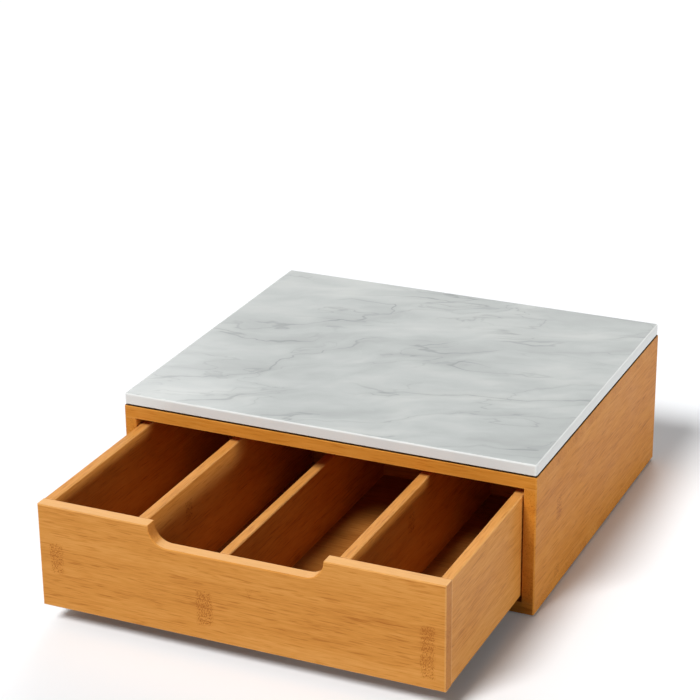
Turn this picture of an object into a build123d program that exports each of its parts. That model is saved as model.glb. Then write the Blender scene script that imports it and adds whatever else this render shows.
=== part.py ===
from build123d import *

import os
from dataclasses import dataclass

# Coffee pod drawer: an open-fronted bamboo case under a marble slab, with one wide drawer
# that has four compartments. Millimetres, +X to the right seen from the front, +Y from the
# front to the back, +Z up. The origin is on the surface that the feet stand on, at the middle
# of the whole footprint with the drawer as far out as DRAWER_OPENING says.

# ---------------------------------------------------------------- case
CASE_WIDTH = 380.0
CASE_DEPTH = 337.0
CASE_HEIGHT = 126.0  # bamboo box alone, without its feet and the slab
TOP_BOARD_THICKNESS = 11.0
BASE_BOARD_THICKNESS = 11.0
SIDE_BOARD_THICKNESS = 11.0
CASE_ARRIS = 1.0  # bevel on the outer edges of the case
SEAT_ARRIS = 0.4  # bevel round the top board's upper face, close under the slab
MOUTH_ARRIS = 0.6  # bevel on the inner edges of the side boards, at the mouth

# ---------------------------------------------------------------- back panel
BACK_PANEL_THICKNESS = 6.0
REBATE_WIDTH = 5.5  # how far the panel laps over each board
PANEL_CLEARANCE = 0.25  # round the panel's four edges, in its rebate

# ---------------------------------------------------------------- slab, pads, feet
SLAB_THICKNESS = 10.0
SLAB_INSET = 0.5  # from the case's outline, all round
SLAB_CORNER_RADIUS = 2.2
SLAB_ARRIS_RADIUS = 1.5  # rounded, polished upper rim
SLAB_LOWER_ARRIS = 0.5  # bevel on the lower rim
PAD_SIZE = 22.0
PAD_THICKNESS = 1.2
PAD_INSET = 30.0  # pad centres, from the case's outline
FOOT_DIAMETER = 20.0
FOOT_HEIGHT = 1.5
FOOT_TAPER = 0.6  # radius lost from the glued face to the free face
FOOT_INSET = 24.0  # foot centres, from the case's outline

# ---------------------------------------------------------------- runners and stops
RUNNER_WIDTH = 12.0
RUNNER_HEIGHT = 5.0
RUNNER_SETBACK = 20.0  # front end, from the mouth of the case
RUNNER_NOSE_RADIUS = 4.0  # rounded front end, so that the drawer climbs on
RUNNER_ARRIS = 0.6
PEG_DIAMETER = 8.0
PEG_HEAD_DIAMETER = 14.0
PEG_HEAD_THICKNESS = 2.0
PEG_TIP_CHAMFER = 0.8
PEG_SETBACK = 55.0  # peg centres, from the mouth of the case
PEG_SPREAD = 260.0  # between the two pegs
PEG_OVERHEAD_GAP = 2.0  # from a peg's tip down to the drawer's top edges
BUMPER_DIAMETER = 10.0
BUMPER_THICKNESS = 2.0
BUMPER_TAPER = 0.8
BUMPER_SPREAD = 240.0  # between the two bumpers

# ---------------------------------------------------------------- drawer
DRAWER_OPENING = 166.0  # front face to the mouth of the case, as the drawer stands
CLOSED_SETBACK = 1.0  # front face inside the mouth when the drawer is shut
CLOSED_GAP = 0.2  # drawer back to the bumpers when the drawer is shut
DRAWER_SIDE_CLEARANCE = 1.0  # each side
DRAWER_TOP_CLEARANCE = 7.0  # sides and dividers below the top board
BACK_TOP_CLEARANCE = 2.0  # the taller drawer back below the top board
FRONT_THICKNESS = 12.0
DRAWER_SIDE_THICKNESS = 9.0
DRAWER_BACK_THICKNESS = 9.0
DRAWER_ARRIS = 0.8  # bevel on the drawer's exposed edges
BOTTOM_THICKNESS = 4.0
BOTTOM_RISE = 5.0  # underside of the bottom panel above the drawer's lower edges
GROOVE_DEPTH = 4.5
GROOVE_END_GAP = 0.5  # panel edge to the bottom of its groove
GROOVE_HEADROOM = 0.2  # above the panel, in its groove

# ---------------------------------------------------------------- finger notch and dividers
NOTCH_WIDTH = 153.0
NOTCH_DEPTH = 17.5
NOTCH_CORNER_RADIUS = 16.4
NOTCH_LIP_RADIUS = 1.0  # where the notch runs out into the top edge
DIVIDER_THICKNESS = 9.0
FIRST_COMPARTMENT = 78.0  # widths, counted from the left
SECOND_COMPARTMENT = 63.0
THIRD_COMPARTMENT = 95.0  # the fourth one takes what is left

# ---------------------------------------------------------------- joinery
CASE_DOWEL_DIAMETER = 6.0
CASE_DOWEL_LENGTH = 24.0
CASE_DOWEL_FACE_DEPTH = 7.0  # length let into the face of the top or base board
DRAWER_DOWEL_DIAMETER = 5.0
DRAWER_DOWEL_LENGTH = 18.0
DRAWER_DOWEL_FACE_DEPTH = 6.0
DOWELS_PER_JOINT = 3
DOWELS_PER_DIVIDER_END = 2
CASE_DOWEL_INSET = 40.0  # first and last dowel, from the ends of a case joint
LOWEST_DRAWER_DOWEL = 22.0  # above the drawer's lower edges, clear of the grooves
DRAWER_DOWEL_TOP_INSET = 18.0  # highest dowel, below the top edge of its piece
DOWEL_FIT = 0.05  # radial, dowel in its socket
DOWEL_END_GAP = 0.5  # glue room at both ends of a socket
DOWEL_CHAMFER = 0.6
ROD_SIDES = 8  # flats round a dowel or a pin, in place of its fine flutes
PIN_DIAMETER = 1.4
PIN_HEAD_DIAMETER = 2.6
PIN_HEAD_THICKNESS = 0.6
PIN_LENGTH = 16.0
PIN_FIT = 0.02  # radial
PINS_PER_RAIL = 3  # along the top and the base
PINS_PER_SIDE = 2
PIN_END_INSET = 36.0  # outer pins, from the corners of the mouth

POSITION_TOLERANCE = 0.01  # for picking edges by where they lie

# ---------------------------------------------------------------- worked out from the above
base_z = FOOT_HEIGHT
floor_z = base_z + BASE_BOARD_THICKNESS  # top face of the base board
case_top_z = base_z + CASE_HEIGHT
ceiling_z = case_top_z - TOP_BOARD_THICKNESS  # underside of the top board
slab_z = case_top_z + PAD_THICKNESS

case_half = CASE_WIDTH / 2
mouth_half = case_half - SIDE_BOARD_THICKNESS
mouth_y = (DRAWER_OPENING - CASE_DEPTH) / 2
case_back_y = mouth_y + CASE_DEPTH
panel_y = case_back_y - BACK_PANEL_THICKNESS  # inner face of the back panel

drawer_half = mouth_half - DRAWER_SIDE_CLEARANCE
inner_half = drawer_half - DRAWER_SIDE_THICKNESS
drawer_z = floor_z + RUNNER_HEIGHT
drawer_top_z = ceiling_z - DRAWER_TOP_CLEARANCE
drawer_back_top_z = ceiling_z - BACK_TOP_CLEARANCE
drawer_length = CASE_DEPTH - BACK_PANEL_THICKNESS - BUMPER_THICKNESS - CLOSED_GAP - CLOSED_SETBACK
drawer_front_y = mouth_y - DRAWER_OPENING
front_inner_y = drawer_front_y + FRONT_THICKNESS
drawer_back_y = drawer_front_y + drawer_length
back_inner_y = drawer_back_y - DRAWER_BACK_THICKNESS
bottom_z = drawer_z + BOTTOM_RISE
bottom_top_z = bottom_z + BOTTOM_THICKNESS
ledge_z = drawer_top_z - NOTCH_DEPTH

left_divider_x = -inner_half + FIRST_COMPARTMENT + DIVIDER_THICKNESS / 2
centre_divider_x = left_divider_x + SECOND_COMPARTMENT + DIVIDER_THICKNESS
right_divider_x = centre_divider_x + THIRD_COMPARTMENT + DIVIDER_THICKNESS


# ---------------------------------------------------------------- helpers
def block(x_span, y_span, z_span):
    """A box between two X, two Y and two Z planes."""
    spans = (x_span, y_span, z_span)
    centre = [sum(span) / 2 for span in spans]
    sizes = [abs(span[1] - span[0]) for span in spans]
    return Pos(*centre) * Box(*sizes)


def edges_near(solid, axis, **place):
    """Straight edges of a solid along an axis whose middles lie at the given X, Y or Z."""
    def lies_there(edge):
        middle = edge.center()
        return all(abs(getattr(middle, name) - value) < POSITION_TOLERANCE for name, value in place.items())

    return solid.edges().filter_by(axis).filter_by(lies_there)


def spread(first, last, count):
    """Evenly spaced values from first to last, both included."""
    return [first + (last - first) * step / (count - 1) for step in range(count)]


def mirrored(value):
    """The same distance to the left and to the right of the middle."""
    return (-value, value)


def rod(radius, length):
    """A many-sided rod that stands on the origin, with its radius taken to the flats."""
    return extrude(RegularPolygon(radius, ROD_SIDES, major_radius=False), length)


@dataclass(frozen=True)
class DowelSize:
    """One size of glued dowel, and the sockets that take it."""

    diameter: float
    length: float
    face_depth: float  # length that is let into the face of the second board

    def dowel(self, joint, towards):
        """A dowel across a joint, pointing towards the board whose face it enters."""
        peg = rod(self.diameter / 2, self.length)
        rims = peg.edges().group_by(Axis.Z)
        peg = chamfer(rims[0] + rims[-1], DOWEL_CHAMFER)
        return self._place(peg, joint, towards, self.face_depth - self.length)

    def socket(self, joint, towards):
        """The cutter for both halves of the dowel's hole."""
        hole = rod(self.diameter / 2 + DOWEL_FIT, self.length + 2 * DOWEL_END_GAP)
        return self._place(hole, joint, towards, self.face_depth - self.length - DOWEL_END_GAP)

    def _place(self, shape, joint, towards, start):
        return Plane(origin=joint, z_dir=towards) * Pos(0, 0, start) * shape


case_dowel = DowelSize(CASE_DOWEL_DIAMETER, CASE_DOWEL_LENGTH, CASE_DOWEL_FACE_DEPTH)
drawer_dowel = DowelSize(DRAWER_DOWEL_DIAMETER, DRAWER_DOWEL_LENGTH, DRAWER_DOWEL_FACE_DEPTH)

UP, DOWN = (0, 0, 1), (0, 0, -1)
LEFT, RIGHT = (-1, 0, 0), (1, 0, 0)
FRONT, BACK = (0, -1, 0), (0, 1, 0)


def cut_sockets(board, size, joints):
    """Cut the dowel sockets of the given joints into a board."""
    for joint, towards in joints:
        board -= size.socket(joint, towards)
    return board


def dowels(size, joints):
    """The dowels of the given joints, as separate solids."""
    return Compound([size.dowel(joint, towards) for joint, towards in joints])


# ---------------------------------------------------------------- where the dowels go
def case_joints(z, towards):
    """Dowels between the side boards' ends and the board above or below them."""
    stations = spread(mouth_y + CASE_DOWEL_INSET, case_back_y - CASE_DOWEL_INSET, DOWELS_PER_JOINT)
    middle = case_half - SIDE_BOARD_THICKNESS / 2
    return [((x, y, z), towards) for x in mirrored(middle) for y in stations]


def corner_heights():
    """Heights of the dowels in a corner of the drawer."""
    lowest = drawer_z + LOWEST_DRAWER_DOWEL
    return spread(lowest, drawer_top_z - DRAWER_DOWEL_TOP_INSET, DOWELS_PER_JOINT)


def front_joints():
    """Dowels between the drawer sides' front ends and the drawer front."""
    middle = drawer_half - DRAWER_SIDE_THICKNESS / 2
    return [((x, front_inner_y, z), FRONT) for x in mirrored(middle) for z in corner_heights()]


def back_joints():
    """Dowels between the drawer back's ends and the drawer sides."""
    middle = (back_inner_y + drawer_back_y) / 2
    left = [((-inner_half, middle, z), LEFT) for z in corner_heights()]
    right = [((inner_half, middle, z), RIGHT) for z in corner_heights()]
    return left + right


def divider_joints(x, top_z):
    """Dowels at the front and the back end of one divider."""
    lowest = drawer_z + LOWEST_DRAWER_DOWEL
    heights = spread(lowest, top_z - DRAWER_DOWEL_TOP_INSET, DOWELS_PER_DIVIDER_END)
    front = [((x, front_inner_y, z), FRONT) for z in heights]
    back = [((x, back_inner_y, z), BACK) for z in heights]
    return front + back


top_joints = case_joints(ceiling_z, UP)
base_joints = case_joints(floor_z, DOWN)
all_divider_joints = (
    divider_joints(left_divider_x, drawer_top_z)
    + divider_joints(centre_divider_x, ledge_z)
    + divider_joints(right_divider_x, drawer_top_z)
)


# ---------------------------------------------------------------- case
def panel_outline(clearance):
    """X and Z spans of the back panel's rebate, less a clearance."""
    half = mouth_half + REBATE_WIDTH - clearance
    return mirrored(half), (floor_z - REBATE_WIDTH + clearance, ceiling_z + REBATE_WIDTH - clearance)


def back_rebate():
    """The cutter for the rebate that the back panel lies in."""
    x_span, z_span = panel_outline(0)
    return block(x_span, (panel_y, case_back_y + BACK_PANEL_THICKNESS), z_span)


def pin_places():
    """Where the panel pins enter the back panel, over the middle of the rebate's shoulder."""
    lap = REBATE_WIDTH / 2
    across = spread(-mouth_half + PIN_END_INSET, mouth_half - PIN_END_INSET, PINS_PER_RAIL)
    up = spread(floor_z + PIN_END_INSET, ceiling_z - PIN_END_INSET, PINS_PER_SIDE)
    rows = [(x, z) for z in (floor_z - lap, ceiling_z + lap) for x in across]
    columns = [(x, z) for x in mirrored(mouth_half + lap) for z in up]
    return rows + columns


def pin_shape(fit):
    """A flat-headed panel pin, head at the origin and point along +Z, grown by a fit."""
    shank = rod(PIN_DIAMETER / 2 + fit, PIN_LENGTH + fit)
    head = rod(PIN_HEAD_DIAMETER / 2 + fit, PIN_HEAD_THICKNESS)
    return shank + head


def pins(fit=0.0):
    """Every panel pin, driven in from the back until its head is flush."""
    return [
        Plane(origin=(x, case_back_y, z), z_dir=FRONT) * pin_shape(fit) for x, z in pin_places()
    ]


def cut_pin_holes(board):
    """Cut the holes of the pins that reach this board."""
    box = board.bounding_box()
    for (x, z), hole in zip(pin_places(), pins(PIN_FIT)):
        if box.min.X < x < box.max.X and box.min.Z < z < box.max.Z:
            board -= hole
    return board


def horizontal_board(z_span, outer_z, rim_arris):
    """The blank of the top or the base board, with its corners and outer rim bevelled."""
    board = block(mirrored(case_half), (mouth_y, case_back_y), z_span)
    board = chamfer(board.edges().filter_by(Axis.Z), CASE_ARRIS)
    rim = board.edges().filter_by(lambda edge: abs(edge.center().Z - outer_z) < POSITION_TOLERANCE)
    return chamfer(rim, rim_arris)


def base_board():
    """Bottom board: the side boards stand on it."""
    board = horizontal_board((base_z, floor_z), base_z, CASE_ARRIS) - back_rebate()
    return cut_pin_holes(cut_sockets(board, case_dowel, base_joints))


def peg_places():
    """Centres of the stop pegs."""
    return [(x, mouth_y + PEG_SETBACK) for x in mirrored(PEG_SPREAD / 2)]


def stop_peg(fit=0.0):
    """A headed peg that hangs through the top board, its head on top at the origin."""
    length = TOP_BOARD_THICKNESS + DRAWER_TOP_CLEARANCE - PEG_OVERHEAD_GAP
    downwards = (Align.CENTER, Align.CENTER, Align.MAX)
    head = Cylinder(PEG_HEAD_DIAMETER / 2 + fit, PEG_HEAD_THICKNESS, align=downwards)
    shank = Cylinder(PEG_DIAMETER / 2 + fit, length, align=downwards)
    return shank + head


def top_board():
    """Top board: it lies over the side boards and carries the stop pegs."""
    board = horizontal_board((ceiling_z, case_top_z), case_top_z, SEAT_ARRIS) - back_rebate()
    for x, y in peg_places():
        board -= Pos(x, y, case_top_z) * stop_peg(DOWEL_FIT)
    return cut_pin_holes(cut_sockets(board, case_dowel, top_joints))


def side_board(side):
    """Side board between base and top; side is -1 for the left and 1 for the right."""
    outer_x, inner_x = side * case_half, side * mouth_half
    board = block((inner_x, outer_x), (mouth_y, case_back_y), (floor_z, ceiling_z))
    board = chamfer(edges_near(board, Axis.Z, X=outer_x), CASE_ARRIS)
    board = chamfer(edges_near(board, Axis.Z, X=inner_x, Y=mouth_y), MOUTH_ARRIS)
    board = board - back_rebate()
    return cut_pin_holes(cut_sockets(board, case_dowel, top_joints + base_joints))


def back_panel():
    """Thin back panel, flush in its rebate."""
    x_span, z_span = panel_outline(PANEL_CLEARANCE)
    panel = block(x_span, (panel_y, case_back_y), z_span)
    return cut_pin_holes(panel)


def stop_pegs():
    """The two pegs that the drawer back meets when the drawer is right out."""
    peg = stop_peg()
    tip = peg.edges().filter_by(GeomType.CIRCLE).sort_by(Axis.Z)[0]
    peg = chamfer(tip, PEG_TIP_CHAMFER)
    return Compound([Pos(x, y, case_top_z) * peg for x, y in peg_places()])


def runner(side):
    """Strip on the base board, against the side board, that one drawer side slides on."""
    wall_x = side * mouth_half
    free_x = side * (mouth_half - RUNNER_WIDTH)
    start_y = mouth_y + RUNNER_SETBACK
    strip = block((free_x, wall_x), (start_y, panel_y), (floor_z, drawer_z))
    strip = fillet(edges_near(strip, Axis.X, Y=start_y, Z=drawer_z), RUNNER_NOSE_RADIUS)
    return chamfer(edges_near(strip, Axis.Y, X=free_x, Z=drawer_z), RUNNER_ARRIS)


def soft_disc(diameter, thickness, taper):
    """A soft disc that stands on the origin and tapers towards its free face."""
    radius = diameter / 2
    return Cone(radius, radius - taper, thickness, align=(Align.CENTER, Align.CENTER, Align.MIN))


def back_bumpers():
    """Soft dots on the back panel that the closing drawer meets."""
    dot = soft_disc(BUMPER_DIAMETER, BUMPER_THICKNESS, BUMPER_TAPER)
    height = (drawer_z + drawer_top_z) / 2
    return Compound(
        [Plane(origin=(x, panel_y, height), z_dir=FRONT) * dot for x in mirrored(BUMPER_SPREAD / 2)]
    )


def at_corners(inset):
    """Points near the four corners of the case, in plan."""
    return [(x, y) for x in mirrored(case_half - inset) for y in (mouth_y + inset, case_back_y - inset)]


def feet():
    """Low soft feet stuck under the base board."""
    foot = soft_disc(FOOT_DIAMETER, FOOT_HEIGHT, FOOT_TAPER)
    return Compound([Plane(origin=(x, y, base_z), z_dir=DOWN) * foot for x, y in at_corners(FOOT_INSET)])


# ---------------------------------------------------------------- slab
def slab_pads():
    """Bonding pads that hold the slab a dark line's width above the top board."""
    pad = Box(PAD_SIZE, PAD_SIZE, PAD_THICKNESS, align=(Align.CENTER, Align.CENTER, Align.MIN))
    middle = (0, (mouth_y + case_back_y) / 2)
    places = at_corners(PAD_INSET) + [middle]
    return Compound([Pos(x, y, case_top_z) * pad for x, y in places])


def marble_slab():
    """Marble slab with rounded corners and upper rim, and a bevelled lower rim."""
    half = case_half - SLAB_INSET
    y_span = (mouth_y + SLAB_INSET, case_back_y - SLAB_INSET)
    slab = block(mirrored(half), y_span, (slab_z, slab_z + SLAB_THICKNESS))
    slab = fillet(slab.edges().filter_by(Axis.Z), SLAB_CORNER_RADIUS)
    slab = fillet(slab.faces().sort_by(Axis.Z)[-1].edges(), SLAB_ARRIS_RADIUS)
    return chamfer(slab.faces().sort_by(Axis.Z)[0].edges(), SLAB_LOWER_ARRIS)


# ---------------------------------------------------------------- drawer
def front_profile():
    """Outline of the drawer front: a plain board with the wide finger notch in its top edge."""
    height = drawer_top_z - drawer_z
    notch = Rectangle(NOTCH_WIDTH, 2 * NOTCH_DEPTH)
    lower_corners = notch.vertices().group_by(Axis.Y)[0]
    notch = fillet(lower_corners, min(NOTCH_CORNER_RADIUS, NOTCH_DEPTH - NOTCH_LIP_RADIUS))
    outline = Rectangle(2 * drawer_half, height) - Pos(0, height / 2) * notch
    top_corners = outline.vertices().group_by(Axis.Y)[-1]
    lips = top_corners.filter_by(lambda corner: abs(corner.X) < drawer_half - POSITION_TOLERANCE)
    return fillet(lips, NOTCH_LIP_RADIUS)


def bottom_groove(x_span, y_span):
    """The cutter for a stretch of the groove that holds the drawer's bottom panel."""
    return block(x_span, y_span, (bottom_z, bottom_top_z + GROOVE_HEADROOM))


def drawer_front():
    """Front board with the finger notch, bevelled edges, a stopped groove and dowel sockets."""
    board = extrude(front_profile(), FRONT_THICKNESS)
    middle_z = (drawer_z + drawer_top_z) / 2
    board = Plane(origin=(0, front_inner_y, middle_z), x_dir=RIGHT, z_dir=FRONT) * board
    front_face = board.faces().sort_by(Axis.Y)[0]
    inner_face = board.faces().sort_by(Axis.Y)[-1]
    inner_top = inner_face.edges().filter_by(lambda edge: edge.center().Z > ledge_z - POSITION_TOLERANCE)
    inner_top = inner_top.filter_by(lambda edge: abs(edge.center().X) < drawer_half - POSITION_TOLERANCE)
    board = chamfer(front_face.edges() + inner_top, DRAWER_ARRIS)
    reach = inner_half + GROOVE_DEPTH
    board -= bottom_groove(mirrored(reach), (front_inner_y - GROOVE_DEPTH, front_inner_y))
    board = cut_sockets(board, drawer_dowel, front_joints())
    return cut_sockets(board, drawer_dowel, all_divider_joints)


def drawer_side(side):
    """Drawer side, butted on the front board, with the bottom groove in its inner face."""
    outer_x, inner_x = side * drawer_half, side * inner_half
    board = block((inner_x, outer_x), (front_inner_y, drawer_back_y), (drawer_z, drawer_top_z))
    exposed = edges_near(board, Axis.Y, Z=drawer_top_z) + edges_near(board, Axis.Y, X=outer_x, Z=drawer_z)
    board = chamfer(exposed, DRAWER_ARRIS)
    groove_x = side * (inner_half + GROOVE_DEPTH)
    board -= bottom_groove((inner_x, groove_x), (front_inner_y, back_inner_y + GROOVE_DEPTH))
    return cut_sockets(board, drawer_dowel, front_joints() + back_joints())


def drawer_back():
    """Drawer back between the sides; it stands higher than they do and meets the stop pegs."""
    board = block(mirrored(inner_half), (back_inner_y, drawer_back_y), (drawer_z, drawer_back_top_z))
    board = chamfer(edges_near(board, Axis.X, Z=drawer_back_top_z), DRAWER_ARRIS)
    board -= bottom_groove(mirrored(inner_half), (back_inner_y, back_inner_y + GROOVE_DEPTH))
    return cut_sockets(board, drawer_dowel, back_joints() + all_divider_joints)


def drawer_bottom():
    """Thin bottom panel, held in the groove of all four walls."""
    tongue = GROOVE_DEPTH - GROOVE_END_GAP
    y_span = (front_inner_y - tongue, back_inner_y + tongue)
    return block(mirrored(inner_half + tongue), y_span, (bottom_z, bottom_top_z))


def divider(x, top_z):
    """A divider from the front board to the drawer back, standing on the bottom panel."""
    half = DIVIDER_THICKNESS / 2
    board = block((x - half, x + half), (front_inner_y, back_inner_y), (bottom_top_z, top_z))
    board = chamfer(edges_near(board, Axis.Y, Z=top_z), DRAWER_ARRIS)
    return cut_sockets(board, drawer_dowel, divider_joints(x, top_z))


# ---------------------------------------------------------------- every piece by name
def build():
    """All pieces in place, by node name."""
    return {
        "base_board": base_board(),
        "left_side_board": side_board(-1),
        "right_side_board": side_board(1),
        "top_board": top_board(),
        "back_panel": back_panel(),
        "back_panel_pins": Compound(pins()),
        "top_joint_dowels": dowels(case_dowel, top_joints),
        "base_joint_dowels": dowels(case_dowel, base_joints),
        "marble_slab": marble_slab(),
        "slab_pads": slab_pads(),
        "left_runner": runner(-1),
        "right_runner": runner(1),
        "stop_pegs": stop_pegs(),
        "back_bumpers": back_bumpers(),
        "feet": feet(),
        "drawer_front": drawer_front(),
        "drawer_left_side": drawer_side(-1),
        "drawer_right_side": drawer_side(1),
        "drawer_back": drawer_back(),
        "drawer_bottom": drawer_bottom(),
        "left_divider": divider(left_divider_x, drawer_top_z),
        "centre_divider": divider(centre_divider_x, ledge_z),
        "right_divider": divider(right_divider_x, drawer_top_z),
        "front_joint_dowels": dowels(drawer_dowel, front_joints()),
        "back_joint_dowels": dowels(drawer_dowel, back_joints()),
        "divider_dowels": dowels(drawer_dowel, all_divider_joints),
    }


os.makedirs("parts", exist_ok=True)
for name, shape in build().items():
    export_step(shape, f"parts/{name}.step")
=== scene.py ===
"""Looks of the coffee pod drawer: lacquered bamboo boards, a marble top, small turned parts, light.

Everything is in metres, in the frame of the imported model: +X to the right seen from the front,
+Y from the front to the back, +Z up, with the floor at z = 0.
"""

from __future__ import annotations

import logging
import math
from dataclasses import dataclass, replace
from enum import Enum
from typing import Sequence

import bpy
import numpy as np
from mathutils import Matrix, Vector


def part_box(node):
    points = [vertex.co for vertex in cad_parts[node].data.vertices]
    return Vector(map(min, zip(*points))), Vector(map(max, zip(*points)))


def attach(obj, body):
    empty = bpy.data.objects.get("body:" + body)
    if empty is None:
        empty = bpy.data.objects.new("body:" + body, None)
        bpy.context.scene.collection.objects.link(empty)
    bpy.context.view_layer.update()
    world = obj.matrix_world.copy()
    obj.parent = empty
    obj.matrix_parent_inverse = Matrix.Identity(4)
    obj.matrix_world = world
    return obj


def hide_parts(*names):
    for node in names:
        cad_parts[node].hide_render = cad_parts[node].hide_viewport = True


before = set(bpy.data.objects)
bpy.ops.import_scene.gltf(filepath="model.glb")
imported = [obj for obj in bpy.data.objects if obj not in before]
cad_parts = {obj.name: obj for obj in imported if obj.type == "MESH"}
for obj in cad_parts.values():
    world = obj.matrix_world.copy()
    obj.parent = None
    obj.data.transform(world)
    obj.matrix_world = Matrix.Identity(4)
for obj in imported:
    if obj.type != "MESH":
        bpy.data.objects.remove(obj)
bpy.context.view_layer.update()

MM = 0.001

logging.basicConfig(level=logging.INFO, format="%(name)s: %(message)s")
log = logging.getLogger("pod_drawer")

Socket = bpy.types.NodeSocket
Sockets = bpy.types.bpy_prop_collection
Feed = Socket | float | tuple[float, ...]
Point = tuple[float, float, float]
Span = tuple[float, float]  # the values at which a smooth step starts and ends
Outline = Sequence[tuple[float, float]]


# ---------------------------------------------------------------------- colours
# The curve of sRGB.
SRGB_KNEE = 0.04045
SRGB_SLOPE = 12.92
SRGB_OFFSET = 0.055
SRGB_SCALE = 1.055
SRGB_POWER = 2.4
WHITE = (1.0, 1.0, 1.0, 1.0)


@dataclass(frozen=True)
class Paint:
    """A colour as it reads on a screen, each channel from 0 to 255."""

    red: int
    green: int
    blue: int

    def linear(self) -> tuple[float, float, float, float]:
        """The same colour in linear light, with full cover."""
        shares = np.array([self.red, self.green, self.blue]) / 255
        low, high = shares / SRGB_SLOPE, ((shares + SRGB_OFFSET) / SRGB_SCALE) ** SRGB_POWER
        red, green, blue = np.where(shares <= SRGB_KNEE, low, high).tolist()
        return red, green, blue, 1.0


# ---------------------------------------------------------------------- shader trees
MIX_SHARE, MIX_FIRST, MIX_SECOND, MIX_RESULT = 0, 6, 7, 2  # a mix node's sockets for colours


@dataclass(frozen=True)
class Noise:
    """A soft noise, and how strongly it is laid over what is under it."""

    scale: Point  # features per metre along the three axes
    detail: float = 2.0  # octaves
    twist: float = 0.0  # how far the noise bends itself
    weight: float = 1.0


class Graph:
    """Adds nodes to one shader tree. What is fed to a node may be a socket or a constant."""

    def __init__(self, tree: bpy.types.NodeTree) -> None:
        """Work on a tree.

        Args:
            tree: the node tree of a material, a world or a node group.
        """
        self.tree = tree

    def feed(self, socket: Socket, value: Feed) -> None:
        """Link a socket to an input, or set the input's constant."""
        if isinstance(value, bpy.types.NodeSocket):
            self.tree.links.new(value, socket)
        else:
            socket.default_value = value

    def add(
        self, kind: str, feeds: dict[str | int, Feed] | None = None, **settings: object
    ) -> bpy.types.Node:
        """Add one node.

        Args:
            kind: Blender's name of the node type.
            feeds: what each input gets, by the input's name or number.
            **settings: the node's own options.

        Returns:
            The new node.
        """
        node = self.tree.nodes.new(kind)
        for name, value in settings.items():
            setattr(node, name, value)
        for name, value in (feeds or {}).items():
            self.feed(node.inputs[name], value)
        return node

    def math(
        self, operation: str, first: Feed, second: Feed = 0.0, third: Feed = 0.0
    ) -> Socket:
        """One step of arithmetic on values."""
        node = self.add("ShaderNodeMath", operation=operation)
        for socket, value in zip(node.inputs, (first, second, third)):
            self.feed(socket, value)
        return node.outputs[0]

    def vector(self, operation: str, first: Feed, second: Feed = (0.0, 0.0, 0.0)) -> Socket:
        """One step of arithmetic on vectors."""
        node = self.add("ShaderNodeVectorMath", {0: first, 1: second}, operation=operation)
        return node.outputs[0]

    def split(self, vector: Socket) -> tuple[Socket, Socket, Socket]:
        """The three parts of a vector."""
        parts = self.add("ShaderNodeSeparateXYZ", {0: vector}).outputs
        return parts[0], parts[1], parts[2]

    def join(self, first: Feed, second: Feed, third: Feed) -> Socket:
        """A vector from three values."""
        return self.add("ShaderNodeCombineXYZ", {0: first, 1: second, 2: third}).outputs[0]

    def step(
        self, value: Feed, start: float, end: float, low: float = 0.0, high: float = 1.0
    ) -> Socket:
        """A smooth step from low, where the value is at start, to high, where it is at end."""
        feeds = {"Value": value, "From Min": start, "From Max": end, "To Min": low, "To Max": high}
        return self.add("ShaderNodeMapRange", feeds, interpolation_type="SMOOTHSTEP").outputs[0]

    def fall(self, value: Feed, start: float, end: float, high: float = 1.0) -> Socket:
        """A smooth step down from high, where the value is at start, to zero at end."""
        return self.step(value, start, end, high, 0.0)

    def noise(self, place: Socket, noise: Noise) -> Socket:
        """A soft noise at a place in metres. Its values lie about one half."""
        feeds = {
            "Vector": self.vector("MULTIPLY", place, noise.scale),
            "Scale": 1.0,
            "Detail": noise.detail,
            "Distortion": noise.twist,
        }
        return self.add("ShaderNodeTexNoise", feeds).outputs["Fac"]

    def chance(self, vector: Socket) -> Socket:
        """An even random number from 0 to 1 for each place of a vector."""
        return self.add("ShaderNodeTexWhiteNoise", {"Vector": vector}).outputs["Value"]

    def off_half(self, value: Feed) -> Socket:
        """How far a value lies above one half, which is less than zero below it."""
        return self.math("SUBTRACT", value, 0.5)

    def from_half(self, value: Feed) -> Socket:
        """How far a value lies from one half, to either side."""
        return self.math("ABSOLUTE", self.off_half(value))

    def lay(self, value: Feed, weight: float, base: Feed) -> Socket:
        """The base, plus a weight times how far the value lies above one half."""
        return self.math("MULTIPLY_ADD", self.off_half(value), weight, base)

    def lay_noise(self, place: Socket, noise: Noise, base: Feed) -> Socket:
        """The base, with a noise laid over it by the noise's own weight."""
        return self.lay(self.noise(place, noise), noise.weight, base)

    def ramp(self, value: Socket, places: Sequence[float], paints: Sequence[Paint]) -> Socket:
        """Colours along a value, blended from each paint's place to the next one's."""
        node = self.add("ShaderNodeValToRGB", {0: value})
        elements = node.color_ramp.elements
        while len(elements) < len(paints):
            elements.new(1.0)
        for element, place, paint in zip(elements, places, paints):
            element.position = place
            element.color = paint.linear()
        return node.outputs["Color"]

    def mix(self, share: Feed, first: Feed, second: Feed) -> Socket:
        """The first colour, with a share of the second laid over it."""
        feeds = {MIX_SHARE: share, MIX_FIRST: first, MIX_SECOND: second}
        return self.add("ShaderNodeMix", feeds, data_type="RGBA").outputs[MIX_RESULT]

    def cover(self, colour: Socket, mask: Socket, share: float, paint: Paint) -> Socket:
        """The colour, with a share of a paint laid over it where the mask is one."""
        return self.mix(self.math("MULTIPLY", mask, share), colour, paint.linear())

    def bump(self, height: Socket, strength: float, distance: float) -> Socket:
        """A normal that a height map has bent."""
        feeds = {"Strength": strength, "Distance": distance, "Height": height}
        return self.add("ShaderNodeBump", feeds).outputs[0]


@dataclass(frozen=True)
class Port:
    """A named input or output of a node group."""

    name: str
    kind: str = "NodeSocketFloat"


VECTOR = "NodeSocketVector"


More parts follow.
